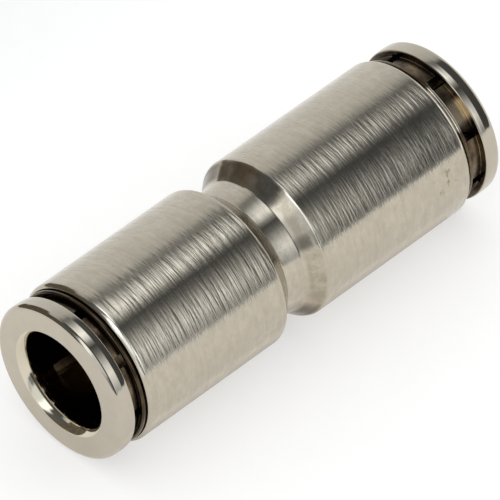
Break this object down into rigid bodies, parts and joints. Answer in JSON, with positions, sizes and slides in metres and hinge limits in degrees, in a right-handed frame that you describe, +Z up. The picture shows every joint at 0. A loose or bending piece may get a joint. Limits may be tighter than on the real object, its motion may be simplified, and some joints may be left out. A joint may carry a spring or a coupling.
{
  "type": "push to connect fitting",
  "caption": "Straight push-to-connect union in nickel-plated brass: round body with a waist groove and a sliding slotted release collet in each end.",
  "frame": {"origin": "middle of the body, on the tube axis; it is the middle of the bounding box too, but for 0.25 mm, because the left collet rests 0.5 mm further in than the right one", "axes": "+X along the tube axis towards the right port, +Z up as the fitting lies on its side"},
  "size_m": [0.0413, 0.014, 0.014],
  "materials": {
    "body_nickel": "nickel plated over fine turning marks",
    "collet_nickel": "smooth polished nickel plate",
    "ring_nickel": "turned, thin nickel plate",
    "plain_brass": "turned, unplated",
    "nitrile_rubber": "moulded, satin"
  },
  "bodies": {
    "body": {"body": "body_nickel", "left_cone_ring": "ring_nickel", "left_seal_spacer": "plain_brass", "left_tube_seal": "nitrile_rubber", "right_cone_ring": "ring_nickel", "right_seal_spacer": "plain_brass", "right_tube_seal": "nitrile_rubber"},
    "left_collet": {"left_collet": "collet_nickel"},
    "right_collet": {"right_collet": "collet_nickel"}
  },
  "joints": [
    {"name": "left_collet_push", "type": "slide", "parent": "body", "child": "left_collet", "axis": [1, 0, 0], "range_m": [-0.0005, 0.0007]},
    {"name": "right_collet_push", "type": "slide", "parent": "body", "child": "right_collet", "axis": [-1, 0, 0], "range_m": [0, 0.0012]}
  ]
}
